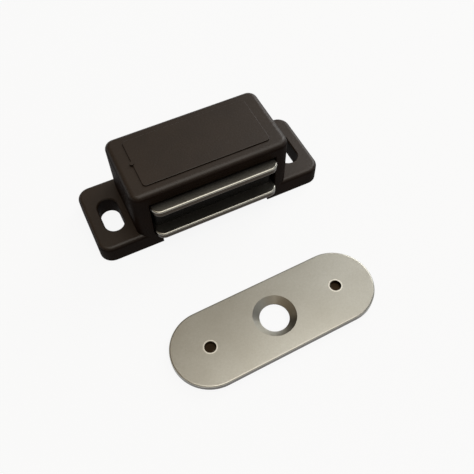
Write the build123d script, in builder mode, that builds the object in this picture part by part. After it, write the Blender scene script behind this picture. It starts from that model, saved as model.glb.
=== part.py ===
from build123d import *
from math import atan, degrees
import os

os.makedirs("parts", exist_ok=True)

# Magnetic catch for a cabinet door, with its strike plate lying in front of it.
# Millimetres. +X runs along the housing, +Y towards its back and +Z up from the
# surface that it is screwed to. The origin is on that surface, midway between
# the centres of the two screw slots.

# ---- pole pack: two steel plates with a ferrite block between them ----
pole_length = 24.8
pole_depth = 15.75
pole_thickness = 1.4
pole_projection = 1.85       # pole faces stand this far in front of the housing
pole_front_radius = 1.7
pole_back_radius = 0.5
pole_edge_round = 0.35       # upper and lower front arrises
magnet_thickness = 5.4
magnet_end_inset = 0.6       # magnet end to plate end
magnet_setback = 0.6         # magnet face behind the housing's front face
magnet_back_gap = 1.2        # magnet back face to the rear wall
magnet_arris = 0.3

# ---- housing: pocket that holds the pack ----
ledge_height = 3.3           # top of the ledges that carry the lower plate
ledge_width = 1.4            # reach of each end ledge under the plate
rear_ledge_width = 1.4
pocket_side_clearance = 0.1
lip_gap = 0.6                # upper plate to the pocket's ceiling
window_edge_round = 0.2

# ---- housing: ribs on the ceiling that grip the upper plate ----
grip_rib_length = 4.5
grip_rib_setback = 0.5       # rib end behind the housing's front face
grip_ribs = [(-1, 2.6, 1.7), (1, 7.3, 0.9), (1, 1.8, 1.3)]   # pocket end, inset, width

# ---- housing: block over the pocket ----
end_wall = 2.9
rear_wall = 1.6
top_wall = 2.7
block_corner_radius = 1.9
block_edge_round = 1.1

# ---- housing: raised panel on the top, with the gate mark at its end ----
panel_rise = 0.25
panel_end_margin = 3.1       # block end to panel end
panel_side_margin = 2.1      # block face to panel edge
panel_corner_radius = 0.7
panel_edge_break = 0.12
gate_mark_radius = 0.42
gate_mark_rise = 0.14

# ---- housing: flange with two ears ----
ear_length = 7.6             # block end to ear end
ear_thickness = 3.8
ear_corner_radius = 2.5
ear_edge_round = 0.8
rear_flange_step = 0.4       # flange behind the block's back

# ---- housing: screw slots ----
slot_to_block = 3.1          # slot centre to the block's end
front_to_slots = 7.55        # front face to the line through both slots
slot_width = 3.8
slot_length = 7.75
slot_edge_break = 0.2

# ---- strike plate ----
strike_length = 39.0
strike_width = 14.0
strike_thickness = 1.1
strike_edge_round = 0.3      # rolled upper edge left by the press tool
strike_gap = 14.85           # pole faces to the strike plate's middle edge
strike_shift = 0.1           # along X from the middle of the housing
strike_turn = 1.8            # degrees
hole_radius = 2.65
hole_land = 0.2              # straight wall left under the countersink
countersink_reach = 1.25     # countersink rim outside the hole's wall
dimple_radius = 1.05
dimple_depth = 0.75
nib_radius = 0.8
nib_height = 0.35
nib_taper = 15.0             # degrees

# ---- worked-out sizes and places ----
pocket_width = pole_length + 2 * pocket_side_clearance
block_length = pocket_width + 2 * end_wall
block_depth = pole_depth - pole_projection + rear_wall
flange_length = block_length + 2 * ear_length
flange_depth = block_depth + rear_flange_step

front_y = -front_to_slots
pole_face_y = front_y - pole_projection
pocket_back_y = pole_face_y + pole_depth
block_middle_y = front_y + block_depth / 2
flange_middle_y = front_y + flange_depth / 2
slot_x = block_length / 2 + slot_to_block

magnet_z = ledge_height + pole_thickness
upper_pole_z = magnet_z + magnet_thickness
pack_top_z = upper_pole_z + pole_thickness
pocket_top_z = pack_top_z + lip_gap
block_height = pocket_top_z + top_wall

magnet_length = pole_length - 2 * magnet_end_inset
magnet_front_y = front_y + magnet_setback
magnet_depth = pocket_back_y - magnet_back_gap - magnet_front_y

strike_middle_y = pole_face_y - strike_gap - strike_width / 2
dimple_spacing = strike_length - strike_width      # centres of the round ends
countersink_angle = 2 * degrees(atan(countersink_reach / (strike_thickness - hole_land)))

past = 1.0                   # how far cutting shapes run past a face
reach = 0.01                 # slack for choosing edges by place


# ======================= housing, one moulding =======================
with BuildPart() as housing:
    # flange: both ears in one slab, its upper edge rounded
    with BuildSketch(Plane.XY):
        with Locations((0, flange_middle_y)):
            RectangleRounded(flange_length, flange_depth, ear_corner_radius)
    extrude(amount=ear_thickness)
    fillet(housing.faces().sort_by(Axis.Z)[-1].edges(), ear_edge_round)

    # block: flush with the flange in front, its upper edge rounded
    with BuildSketch(Plane.XY):
        with Locations((0, block_middle_y)):
            RectangleRounded(block_length, block_depth, block_corner_radius)
    extrude(amount=block_height)
    fillet(housing.faces().sort_by(Axis.Z)[-1].edges(), block_edge_round)

    # raised panel along the top
    with BuildSketch(Plane.XY.offset(block_height)):
        with Locations((0, block_middle_y)):
            RectangleRounded(
                block_length - 2 * panel_end_margin,
                block_depth - 2 * panel_side_margin,
                panel_corner_radius,
            )
    extrude(amount=panel_rise)
    fillet(housing.faces().sort_by(Axis.Z)[-1].edges(), panel_edge_break)

    # gate mark: a low round spot at the left end of the panel
    with BuildSketch(Plane.XY.offset(block_height)):
        with Locations((panel_end_margin - block_length / 2, block_middle_y)):
            Circle(gate_mark_radius)
    extrude(amount=panel_rise + gate_mark_rise)

    # pocket for the pole pack, open at the front
    with BuildSketch(Plane.XY.offset(ledge_height)):
        with Locations((0, (front_y - past + pocket_back_y) / 2)):
            Rectangle(pocket_width, pocket_back_y - front_y + past)
    extrude(amount=pocket_top_z - ledge_height, mode=Mode.SUBTRACT)

    # well under the pocket, open at the front and at the base, so that only
    # ledges at the ends and at the back carry the lower plate
    well_back_y = pocket_back_y - rear_ledge_width
    with BuildSketch(Plane.XY):
        with Locations((0, (front_y - past + well_back_y) / 2)):
            Rectangle(pocket_width - 2 * ledge_width, well_back_y - front_y + past)
    extrude(amount=ledge_height, mode=Mode.SUBTRACT)

    # soft edge round the window, on the front face
    window_edges = (
        housing.edges()
        .filter_by_position(Axis.Y, front_y - reach, front_y + reach)
        .filter_by_position(Axis.X, -pocket_width / 2 - reach, pocket_width / 2 + reach)
        .filter_by_position(Axis.Z, ledge_height + reach, pocket_top_z + reach)
    )
    fillet(window_edges, window_edge_round)

    # grip ribs, from the ceiling down to the upper plate
    for end, inset, rib_width in grip_ribs:
        rib_x = end * (pocket_width / 2 - inset)
        rib_y = front_y + grip_rib_setback + grip_rib_length / 2
        with BuildSketch(Plane.XY.offset(pack_top_z)):
            with Locations((rib_x, rib_y)):
                Rectangle(rib_width, grip_rib_length)
        extrude(amount=lip_gap)

    # screw slots, long from front to back, so that the catch can be set in or out
    with BuildSketch(Plane.XY):
        with Locations((-slot_x, 0), (slot_x, 0)):
            SlotOverall(slot_length, slot_width, rotation=90)
    extrude(amount=ear_thickness, mode=Mode.SUBTRACT)
    with BuildSketch(Plane.XY.offset(ear_thickness)):
        with Locations((-slot_x, 0), (slot_x, 0)):
            SlotOverall(
                slot_length + 2 * slot_edge_break,
                slot_width + 2 * slot_edge_break,
                rotation=90,
            )
    extrude(amount=-slot_edge_break, taper=45, mode=Mode.SUBTRACT)

housing.part.label = "housing"
export_step(housing.part, "parts/housing.step")


# ======================= pole plates =======================
def pole_plate(name, bottom_z):
    with BuildPart() as plate:
        with BuildSketch(Plane.XY.offset(bottom_z)) as outline:
            with Locations((0, pole_face_y + pole_depth / 2)):
                Rectangle(pole_length, pole_depth)
            fillet(outline.vertices().group_by(Axis.Y)[0], pole_front_radius)
            fillet(outline.vertices().group_by(Axis.Y)[-1], pole_back_radius)
        extrude(amount=pole_thickness)
        front_arrises = plate.edges().group_by(Axis.Y)[0].filter_by(Axis.X)
        fillet(front_arrises, pole_edge_round)
    plate.part.label = name
    export_step(plate.part, f"parts/{name}.step")


pole_plate("lower_pole_plate", ledge_height)
pole_plate("upper_pole_plate", upper_pole_z)


# ======================= ferrite magnet =======================
with BuildPart() as magnet:
    with BuildSketch(Plane.XY.offset(magnet_z)):
        with Locations((0, magnet_front_y + magnet_depth / 2)):
            Rectangle(magnet_length, magnet_depth)
    extrude(amount=magnet_thickness)
    chamfer(magnet.edges().filter_by(Axis.Z), magnet_arris)
magnet.part.label = "magnet"
export_step(magnet.part, "parts/magnet.step")


# ======================= strike plate =======================
strike_plane = Plane(
    origin=(strike_shift, strike_middle_y, nib_height),
    x_dir=Vector(1, 0, 0).rotate(Axis.Z, strike_turn),
    z_dir=(0, 0, 1),
)
with BuildPart(strike_plane) as strike_plate:
    with BuildSketch(strike_plane):
        SlotOverall(strike_length, strike_width)
    extrude(amount=strike_thickness)
    fillet(strike_plate.faces().sort_by(Axis.Z)[-1].edges(), strike_edge_round)

    # countersunk hole for the screw
    with Locations((0, 0, strike_thickness)):
        CounterSinkHole(
            radius=hole_radius,
            counter_sink_radius=hole_radius + countersink_reach,
            counter_sink_angle=countersink_angle,
        )

    # two punched dimples, which stand out behind as nibs that bite the door
    with BuildSketch(strike_plane):
        with Locations((-dimple_spacing / 2, 0), (dimple_spacing / 2, 0)):
            Circle(nib_radius)
    extrude(amount=-nib_height, taper=nib_taper)
    with Locations(
        (-dimple_spacing / 2, 0, strike_thickness),
        (dimple_spacing / 2, 0, strike_thickness),
    ):
        Hole(dimple_radius, depth=dimple_depth)
strike_plate.part.label = "strike_plate"
export_step(strike_plate.part, "parts/strike_plate.step")
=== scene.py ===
# %% [markdown]
# # A magnetic cabinet catch and its strike plate
# The catch is a small moulded housing that holds two steel pole plates with a ferrite magnet
# between them. The strike plate is screwed to the door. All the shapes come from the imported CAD
# model, and this file adds what the CAD model lacks: camera, light, floor and the finish of every
# surface.

# %% Load the frame
from math import cos, pi, radians, sin

import bpy
from mathutils import Matrix, Vector


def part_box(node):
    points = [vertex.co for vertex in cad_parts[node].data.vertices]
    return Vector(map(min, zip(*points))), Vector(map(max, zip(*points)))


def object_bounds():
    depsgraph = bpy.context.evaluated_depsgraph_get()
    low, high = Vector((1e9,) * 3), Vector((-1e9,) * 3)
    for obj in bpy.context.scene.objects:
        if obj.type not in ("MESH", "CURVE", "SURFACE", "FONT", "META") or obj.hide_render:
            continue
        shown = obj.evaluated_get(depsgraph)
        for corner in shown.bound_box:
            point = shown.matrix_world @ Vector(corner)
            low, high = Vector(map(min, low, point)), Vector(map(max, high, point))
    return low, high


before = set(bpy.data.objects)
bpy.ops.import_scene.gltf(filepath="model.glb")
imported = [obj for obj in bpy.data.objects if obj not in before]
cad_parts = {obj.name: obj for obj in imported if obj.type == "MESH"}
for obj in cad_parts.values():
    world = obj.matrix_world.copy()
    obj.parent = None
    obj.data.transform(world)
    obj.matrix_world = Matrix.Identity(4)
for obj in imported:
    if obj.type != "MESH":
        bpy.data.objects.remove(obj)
cad_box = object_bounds()
scene = bpy.context.scene
mm = 0.001
for corner in cad_box:
    print("CAD box corner in mm:", [round(v / mm, 2) for v in corner])

# %% [markdown]
# ## Camera
# The catch is seen from the front left and from well above, at the distance of a hand-held
# camera, so the housing's far end draws together a little. A camera can be aimed with a Track To
# constraint, but here its axes are worked out from three angles, so that the slight roll of a
# hand-held shot is kept too.

# %% Camera
turn = radians(-25.42)          # round the object, from the front
height_angle = radians(56.99)   # above the floor
roll = radians(-0.72)
camera_place = Vector((-24.69, -68.72, 94.86)) * mm
sensor_width = 36.0
image_width = 474
focal_length_dots = 590.36

back = Vector((
    sin(turn) * cos(height_angle),
    -cos(turn) * cos(height_angle),
    sin(height_angle),
))
level_right = (-back).cross(Vector((0, 0, 1))).normalized()
level_up = level_right.cross(-back)
right = level_right * cos(roll) + level_up * sin(roll)
up = level_up * cos(roll) - level_right * sin(roll)

camera_data = bpy.data.cameras.new("camera")
camera_data.sensor_width = sensor_width
camera_data.lens = focal_length_dots * sensor_width / image_width
camera_data.clip_start = 0.005
half_dot = 0.5 / image_width      # centres the view between two dots of the image
camera_data.shift_x, camera_data.shift_y = -half_dot, half_dot
camera = bpy.data.objects.new("camera", camera_data)
axes = Matrix((right, up, back)).transposed().to_4x4()
camera.matrix_world = Matrix.Translation(camera_place) @ axes
scene.collection.objects.link(camera)
scene.camera = camera
scene.view_settings.view_transform = "Standard"
print("lens in mm:", round(camera_data.lens, 2))

# %% [markdown]
# ## Node helpers
# Every material and the world are small node trees. Two helpers keep their cells short: one adds
# a node with its settings and socket values, the other starts a material with its shader.

# %% Node helpers
def add_node(tree, kind, values=None, **settings):
    node = tree.nodes.new(kind)
    for name, value in settings.items():
        setattr(node, name, value)
    for socket, value in (values or {}).items():
        node.inputs[socket].default_value = value
    return node


def link(tree, output, *sockets):
    for socket in sockets:
        tree.links.new(output, socket)


def start_material(name):
    material = bpy.data.materials.new(name)
    material.use_nodes = True
    tree = material.node_tree
    tree.nodes.clear()
    shader = add_node(tree, "ShaderNodeBsdfPrincipled")
    output = add_node(tree, "ShaderNodeOutputMaterial")
    link(tree, shader.outputs["BSDF"], output.inputs["Surface"])
    return material, tree, shader


def dress(material, *nodes):
    for name in nodes:
        for material_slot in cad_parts[name].material_slots:
            material_slot.material = material
        print(name, "wears", material.name)

# %% [markdown]
# ## Room light
# Small bright metal parts show the room more than they show their own colour. A grey room gets
# lighter from the skirting to the ceiling, and from a warm dim side at the left to a light
# neutral side at the right. The world does this with two ramps over the direction that each ray
# leaves in. The camera sees plain white instead, and reflections see it along the horizon, where
# it carries the white sheet on.

# %% World
world = bpy.data.worlds.new("room")
scene.world = world
world.use_nodes = True
tree = world.node_tree
tree.nodes.clear()
direction = add_node(tree, "ShaderNodeTexCoord")
parts = add_node(tree, "ShaderNodeSeparateXYZ")
link(tree, direction.outputs["Generated"], parts.inputs[0])
warm_to_neutral = {"From Min": -0.35, "From Max": 0.75}
across = add_node(tree, "ShaderNodeMapRange", warm_to_neutral, interpolation_type="SMOOTHSTEP")
link(tree, parts.outputs["X"], across.inputs["Value"])
tint = add_node(tree, "ShaderNodeMix", data_type="RGBA")
warm_side, neutral_side = (0.54, 0.44, 0.32, 1), (1.00, 1.00, 0.97, 1)
tint.inputs["A"].default_value = warm_side
tint.inputs["B"].default_value = neutral_side
link(tree, across.outputs["Result"], tint.inputs["Factor"])
dark_to_light = {"From Min": 0.1, "From Max": 0.95, "To Min": 0.06, "To Max": 0.66}
rise = add_node(tree, "ShaderNodeMapRange", dark_to_light)
link(tree, parts.outputs["Z"], rise.inputs["Value"])
room_light = add_node(tree, "ShaderNodeBackground")
link(tree, tint.outputs["Result"], room_light.inputs["Color"])
link(tree, rise.outputs["Result"], room_light.inputs["Strength"])
horizon_band = 0.12   # sine of the angle above the horizon
white_light = add_node(tree, "ShaderNodeBackground", {"Color": (1, 1, 1, 1), "Strength": 1.0})
path = add_node(tree, "ShaderNodeLightPath")
near_horizon = add_node(tree, "ShaderNodeMath", {1: horizon_band}, operation="LESS_THAN")
link(tree, parts.outputs["Z"], near_horizon.inputs[0])
mirrored = add_node(tree, "ShaderNodeMath", operation="MULTIPLY")
link(tree, near_horizon.outputs[0], mirrored.inputs[0])
link(tree, path.outputs["Is Glossy Ray"], mirrored.inputs[1])
seen = add_node(tree, "ShaderNodeMath", operation="MAXIMUM")
link(tree, path.outputs["Is Camera Ray"], seen.inputs[0])
link(tree, mirrored.outputs[0], seen.inputs[1])
seen_through = add_node(tree, "ShaderNodeMath", operation="MAXIMUM")
link(tree, seen.outputs[0], seen_through.inputs[0])
link(tree, path.outputs["Is Transmission Ray"], seen_through.inputs[1])
backdrop = add_node(tree, "ShaderNodeMixShader")
link(tree, seen_through.outputs[0], backdrop.inputs["Fac"])
link(tree, room_light.outputs["Background"], backdrop.inputs[1])
link(tree, white_light.outputs["Background"], backdrop.inputs[2])
world_output = add_node(tree, "ShaderNodeOutputWorld")
link(tree, backdrop.outputs["Shader"], world_output.inputs["Surface"])
print("world nodes:", len(tree.nodes))

# %% [markdown]
# ## Lamps
# A wide softbox hangs over the catch, a little to the front, and draws the light line along the
# rolled edges of the plates. A window-like panel stands low at the right. Both are area lamps,
# because their light has soft shadows and their shape shows in metal as a soft band.

# %% Lamps
between_pieces = Vector((0, -0.015, 0))


def softbox(name, place, size, power, colour):
    data = bpy.data.lights.new(name, "AREA")
    data.shape = "RECTANGLE"
    data.size, data.size_y = size
    data.energy = power
    data.color = colour
    lamp = bpy.data.objects.new(name, data)
    lamp.location = place
    away = Vector(place) - between_pieces
    lamp.rotation_euler = away.to_track_quat("Z", "Y").to_euler()
    scene.collection.objects.link(lamp)
    print(name, "radiance:", round(power / (pi * size[0] * size[1]), 2))


softbox("overhead_softbox", (0.03, -0.11, 0.50), (0.50, 0.40), 1.15, (1.0, 0.97, 0.91))
softbox("right_panel", (0.42, 0.22, 0.30), (0.26, 0.30), 1.1, (1.0, 0.99, 0.97))

# %% [markdown]
# ## Floor
# The catch lies on a plain white sheet. For the camera, and in reflections, most of the sheet's
# light is its own plain white, so that it stays white out to the edge of the view. The rest is
# lit by the lamps, and keeps the soft shadow under the catch.

# %% Floor
def white_floor():
    size, drop, own_light = 3.0, 0.02 * mm, 0.9
    bpy.ops.mesh.primitive_plane_add(size=size, location=(0, 0, -drop))
    floor = bpy.context.object
    floor.name = "floor"
    material, tree, shader = start_material("white_sheet")
    shader.inputs["Base Color"].default_value = (0.62, 0.62, 0.61, 1)
    shader.inputs["Roughness"].default_value = 0.8
    plain = add_node(tree, "ShaderNodeEmission", {"Color": (1, 1, 1, 1), "Strength": 1.0})
    path = add_node(tree, "ShaderNodeLightPath")
    seen = add_node(tree, "ShaderNodeMath", operation="MAXIMUM")
    link(tree, path.outputs["Is Camera Ray"], seen.inputs[0])
    link(tree, path.outputs["Is Glossy Ray"], seen.inputs[1])
    seen_through = add_node(tree, "ShaderNodeMath", operation="MAXIMUM")
    link(tree, seen.outputs[0], seen_through.inputs[0])
    link(tree, path.outputs["Is Transmission Ray"], seen_through.inputs[1])
    share = add_node(tree, "ShaderNodeMath", {1: own_light}, operation="MULTIPLY")
    link(tree, seen_through.outputs[0], share.inputs[0])
    mix = add_node(tree, "ShaderNodeMixShader")
    link(tree, share.outputs[0], mix.inputs["Fac"])
    link(tree, shader.outputs["BSDF"], mix.inputs[1])
    link(tree, plain.outputs["Emission"], mix.inputs[2])
    output = next(node for node in tree.nodes if node.type == "OUTPUT_MATERIAL")
    link(tree, mix.outputs["Shader"], output.inputs["Surface"])
    floor.data.materials.append(material)
    print("floor side in m:", size)


white_floor()

# %% [markdown]
# ## Shared effects
# Three effects are used by more than one finish, so each is a node group with named sockets:
# fine grain, soft cloudy patches, and how far a surface faces up. They put out only masks and
# heights, and each material decides what to do with them.

# %% Shared effects
def start_group(name, inputs, outputs):
    group = bpy.data.node_groups.new(name, "ShaderNodeTree")
    for socket, default in inputs.items():
        made = group.interface.new_socket(socket, in_out="INPUT", socket_type="NodeSocketFloat")
        made.default_value = default
    for socket in outputs:
        group.interface.new_socket(socket, in_out="OUTPUT", socket_type="NodeSocketFloat")
    return group, add_node(group, "NodeGroupInput"), add_node(group, "NodeGroupOutput")


def make_grain():
    sockets = {"Grains per metre": 4000.0, "Roughness": 0.6}
    group, given, result = start_group("fine_grain", sockets, ["Height"])
    place = add_node(group, "ShaderNodeTexCoord")
    noise = add_node(group, "ShaderNodeTexNoise", {"Detail": 3.0})
    link(group, place.outputs["Object"], noise.inputs["Vector"])
    link(group, given.outputs["Grains per metre"], noise.inputs["Scale"])
    link(group, given.outputs["Roughness"], noise.inputs["Roughness"])
    link(group, noise.outputs["Fac"], result.inputs["Height"])
    return group


def make_clouds():
    sockets = {"Patches per metre": 120.0, "From": 0.35, "To": 0.65}
    group, given, result = start_group("cloudy_patches", sockets, ["Mask"])
    place = add_node(group, "ShaderNodeTexCoord")
    noise = add_node(group, "ShaderNodeTexNoise", {"Detail": 4.0, "Roughness": 0.55})
    link(group, place.outputs["Object"], noise.inputs["Vector"])
    link(group, given.outputs["Patches per metre"], noise.inputs["Scale"])
    limits = add_node(group, "ShaderNodeMapRange", interpolation_type="SMOOTHSTEP")
    link(group, noise.outputs["Fac"], limits.inputs["Value"])
    link(group, given.outputs["From"], limits.inputs["From Min"])
    link(group, given.outputs["To"], limits.inputs["From Max"])
    link(group, limits.outputs["Result"], result.inputs["Mask"])
    return group


def make_facing_up():
    group, given, result = start_group("facing_up", {"From": 0.2, "To": 0.95}, ["Mask"])
    geometry = add_node(group, "ShaderNodeNewGeometry")
    parts = add_node(group, "ShaderNodeSeparateXYZ")
    link(group, geometry.outputs["Normal"], parts.inputs[0])
    limits = add_node(group, "ShaderNodeMapRange", interpolation_type="SMOOTHSTEP")
    link(group, parts.outputs["Z"], limits.inputs["Value"])
    link(group, given.outputs["From"], limits.inputs["From Min"])
    link(group, given.outputs["To"], limits.inputs["From Max"])
    link(group, limits.outputs["Result"], result.inputs["Mask"])
    return group


grain_group, cloud_group, up_group = make_grain(), make_clouds(), make_facing_up()
print("shared effects:", [group.name for group in (grain_group, cloud_group, up_group)])

# %% [markdown]
# ## Placing an effect
# A material places a group with its own values, mixes colours by its mask, or turns its height
# into a bump. These helpers keep each of those to one line.

# %% Material helpers


def effect(tree, group, values):
    node = tree.nodes.new("ShaderNodeGroup")
    node.node_tree = group
    for socket, value in values.items():
        node.inputs[socket].default_value = value
    return node


def mix_colours(tree, mask, low, high):
    node = add_node(tree, "ShaderNodeMix", data_type="RGBA")
    for socket, value in (("A", low), ("B", high)):
        if isinstance(value, tuple):
            node.inputs[socket].default_value = (*value, 1)
        else:
            link(tree, value, node.inputs[socket])
    link(tree, mask, node.inputs["Factor"])
    return node.outputs["Result"]


def remap(tree, value, low, high):
    node = add_node(tree, "ShaderNodeMapRange", {"To Min": low, "To Max": high})
    link(tree, value, node.inputs["Value"])
    return node.outputs["Result"]


def bump(tree, height, distance):
    node = add_node(tree, "ShaderNodeBump", {"Strength": 1.0, "Distance": distance})
    link(tree, height, node.inputs["Height"])
    return node.outputs["Normal"]


# %% [markdown]
# ## Moulded plastic
# The housing is one injection moulding in dark chocolate-brown plastic. Faces that point up get a
# lighter brown and a clear coat, painted light and a painted sheen; the sides a darker brown,
# painted shade.

# %% Housing plastic
def brown_plastic():
    material, tree, shader = start_material("brown_plastic")
    up = effect(tree, up_group, {"From": 0.3, "To": 1.0}).outputs["Mask"]
    patches = {"Patches per metre": 160.0, "From": 0.25, "To": 0.75}
    clouds = effect(tree, cloud_group, patches).outputs["Mask"]
    grain = effect(tree, grain_group, {"Grains per metre": 2600.0}).outputs["Height"]
    # Painted light and shade: faces that point up get a lighter brown than the sides.
    shaded_side_colours = mix_colours(tree, clouds, (0.0062, 0.0029, 0.0014), (0.0090, 0.0043, 0.0021))
    lit_top_colours = mix_colours(tree, clouds, (0.0170, 0.0095, 0.0050), (0.0225, 0.0130, 0.0072))
    link(tree, mix_colours(tree, up, shaded_side_colours, lit_top_colours), shader.inputs["Base Color"])
    shader.inputs["Specular IOR Level"].default_value = 0.02
    shader.inputs["Roughness"].default_value = 0.7
    # Painted sheen: the coat is strong on faces that point up and almost absent on the sides.
    link(tree, remap(tree, up, 0.04, 0.92), shader.inputs["Coat Weight"])
    shader.inputs["Coat Roughness"].default_value = 0.42
    surface = bump(tree, grain, 0.00002)
    link(tree, surface, shader.inputs["Normal"], shader.inputs["Coat Normal"])
    return material


dress(brown_plastic(), "housing")

# %% [markdown]
# ## Nickel plate
# The pole plates and the strike plate are stamped from sheet steel and nickel plated. Tumbling
# has left a satin surface with no grain direction. Faces that do not point up, the sheared edges
# among them, get a near-black brown: painted shade.

# %% Nickel-plated steel
def nickel(name):
    material, tree, shader = start_material(name)
    up = effect(tree, up_group, {"From": 0.10, "To": 0.50}).outputs["Mask"]
    patches = {"Patches per metre": 90.0, "From": 0.2, "To": 0.8}
    clouds = effect(tree, cloud_group, patches).outputs["Mask"]
    grains = {"Grains per metre": 3200.0, "Roughness": 0.75}
    grain = effect(tree, grain_group, grains).outputs["Height"]
    face = mix_colours(tree, clouds, (0.480, 0.470, 0.420), (0.530, 0.530, 0.490))
    speckled = mix_colours(tree, remap(tree, grain, 0.2, 1.0), (0.36, 0.34, 0.29), face)
    # Painted shade: every face that does not point up gets a near-black brown.
    base = mix_colours(tree, up, (0.035, 0.026, 0.018), speckled)
    shader.inputs["Metallic"].default_value = 1.0
    link(tree, remap(tree, clouds, 0.27, 0.31), shader.inputs["Roughness"])
    link(tree, bump(tree, grain, 0.000006), shader.inputs["Normal"])
    return material, tree, shader, base


pole_material, tree, shader, base = nickel("nickel_plated_steel")
link(tree, base, shader.inputs["Base Color"])
dress(pole_material, "upper_pole_plate", "lower_pole_plate")

# %% [markdown]
# ## Punch marks
# The strike plate has two blind punch marks. Their hollows are painted dark brown as painted
# shade, and a narrow ring round each at the plate's face is painted pale as a painted highlight.
# A mask is drawn round each mark's middle. For the painted shade it counts only below the plate's
# face, because a plain circle would also darken the flat round the mark.

# %% Strike plate with dark punch marks
full_depth = 0.35 * mm            # depth at which the painted shade in the marks is at its darkest
rim_radius, wall_radius = 1.28 * mm, 1.06 * mm
punch_marks = Vector((12.594, -30.857)) * mm, Vector((-12.394, -31.643)) * mm


def punch_mark_mask(tree, middle, radius, face_height):
    place = add_node(tree, "ShaderNodeTexCoord")
    parts = add_node(tree, "ShaderNodeSeparateXYZ")
    flat = add_node(tree, "ShaderNodeCombineXYZ")
    link(tree, place.outputs["Object"], parts.inputs[0])
    link(tree, parts.outputs["X"], flat.inputs["X"])
    link(tree, parts.outputs["Y"], flat.inputs["Y"])
    away = add_node(tree, "ShaderNodeVectorMath", {1: (*middle, 0.0)}, operation="DISTANCE")
    link(tree, flat.outputs[0], away.inputs[0])
    near = add_node(tree, "ShaderNodeMath", {1: radius}, operation="LESS_THAN")
    link(tree, away.outputs["Value"], near.inputs[0])
    depths = {"From Min": face_height, "From Max": face_height - full_depth}
    depth = add_node(tree, "ShaderNodeMapRange", depths)
    link(tree, parts.outputs["Z"], depth.inputs["Value"])
    inside = add_node(tree, "ShaderNodeMath", operation="MULTIPLY")
    link(tree, near.outputs[0], inside.inputs[0])
    link(tree, depth.outputs["Result"], inside.inputs[1])
    return inside.outputs[0]


def strike_steel():
    material, tree, shader, base = nickel("nickel_plated_strike_steel")
    face_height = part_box("strike_plate")[1][2]
    above_face = face_height + full_depth + 0.01 * mm
    for middle in punch_marks:
        # Painted highlight: a pale ring round each mark at the plate's face.
        painted_highlight_rim = punch_mark_mask(tree, middle, rim_radius, above_face)
        base = mix_colours(tree, painted_highlight_rim, base, (0.74, 0.72, 0.65))
        # Painted shade: the hollow of each mark is painted dark brown, darkest at full depth.
        painted_shade_in_mark = punch_mark_mask(tree, middle, wall_radius, face_height)
        base = mix_colours(tree, painted_shade_in_mark, base, (0.030, 0.020, 0.012))
    link(tree, base, shader.inputs["Base Color"])
    return material


dress(strike_steel(), "strike_plate")

# %% [markdown]
# ## Ferrite
# The magnet is pressed and sintered ceramic: matt and dark grey, with a fine dusty grain, painted
# near black as painted shade for its place deep between the plates.

# %% Ferrite
def ferrite():
    material, tree, shader = start_material("ferrite")
    clouds = effect(tree, cloud_group, {"Patches per metre": 400.0}).outputs["Mask"]
    grain = effect(tree, grain_group, {"Grains per metre": 5000.0}).outputs["Height"]
    # Partly its own dark colour, partly painted shade: near black, darker than ferrite's own dark
    # grey.
    base = mix_colours(tree, clouds, (0.006, 0.0055, 0.0055), (0.012, 0.011, 0.010))
    link(tree, base, shader.inputs["Base Color"])
    shader.inputs["Specular IOR Level"].default_value = 0.1
    link(tree, remap(tree, clouds, 0.6, 0.75), shader.inputs["Roughness"])
    link(tree, bump(tree, grain, 0.00003), shader.inputs["Normal"])
    return material


dress(ferrite(), "magnet")
